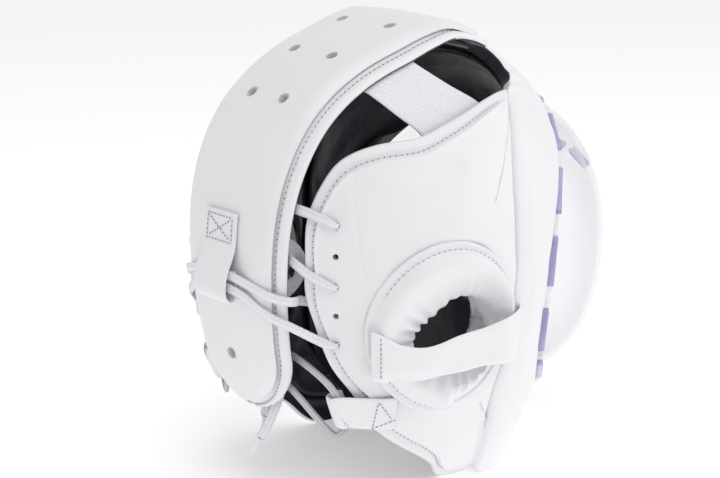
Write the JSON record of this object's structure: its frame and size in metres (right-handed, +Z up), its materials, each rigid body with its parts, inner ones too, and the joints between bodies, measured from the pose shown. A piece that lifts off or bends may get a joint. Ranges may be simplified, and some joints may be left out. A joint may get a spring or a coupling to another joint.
{
  "type": "full-face bubble helmet",
  "caption": "Padded white leather head guard with a clear domed face shield, ear openings, crown strip, elastic bands and laced back.",
  "frame": {"origin": "bottom centre of the helmet's bounding box, without the two lace tails", "axes": "+Z up, face towards -Y, wearer's right towards -X"},
  "size_m": [0.2042, 0.2658, 0.2462],
  "materials": {
    "white_leather": "smooth white synthetic leather with fine grain",
    "dark_lining": "soft dark navy lining",
    "clear_shield": "clear polycarbonate, edges tinted violet",
    "elastic": "woven white elastic with fine ribs",
    "grey_elastic": "pale grey flat elastic cord",
    "lace": "flat woven white lace",
    "aglet": "clear plastic lace tip"
  },
  "bodies": {
    "root": {"crown_pad": "white_leather", "crown_base": "white_leather", "crown_lining": "dark_lining", "face_frame": "white_leather", "face_lining": "dark_lining", "face_shield": "clear_shield", "side_panel_right": "white_leather", "side_panel_left": "white_leather", "side_lining_right": "dark_lining", "side_lining_left": "dark_lining", "ear_roll_right": "white_leather", "ear_roll_left": "white_leather", "ear_bridge_right": "white_leather", "ear_bridge_left": "white_leather", "elastic_band_right": "elastic", "elastic_band_left": "elastic", "strip_loop": "white_leather", "lace_upper": "lace", "lace_middle": "lace", "lace_loop_upper": "lace", "lace_loop_lower": "lace", "nape_tab_right": "white_leather", "nape_tab_left": "white_leather", "nape_elastic_right": "grey_elastic", "nape_elastic_left": "grey_elastic", "lace_tail_long": "lace", "lace_aglet_long": "aglet", "lace_tail_short": "lace", "lace_aglet_short": "aglet"}
  },
  "joints": []
}
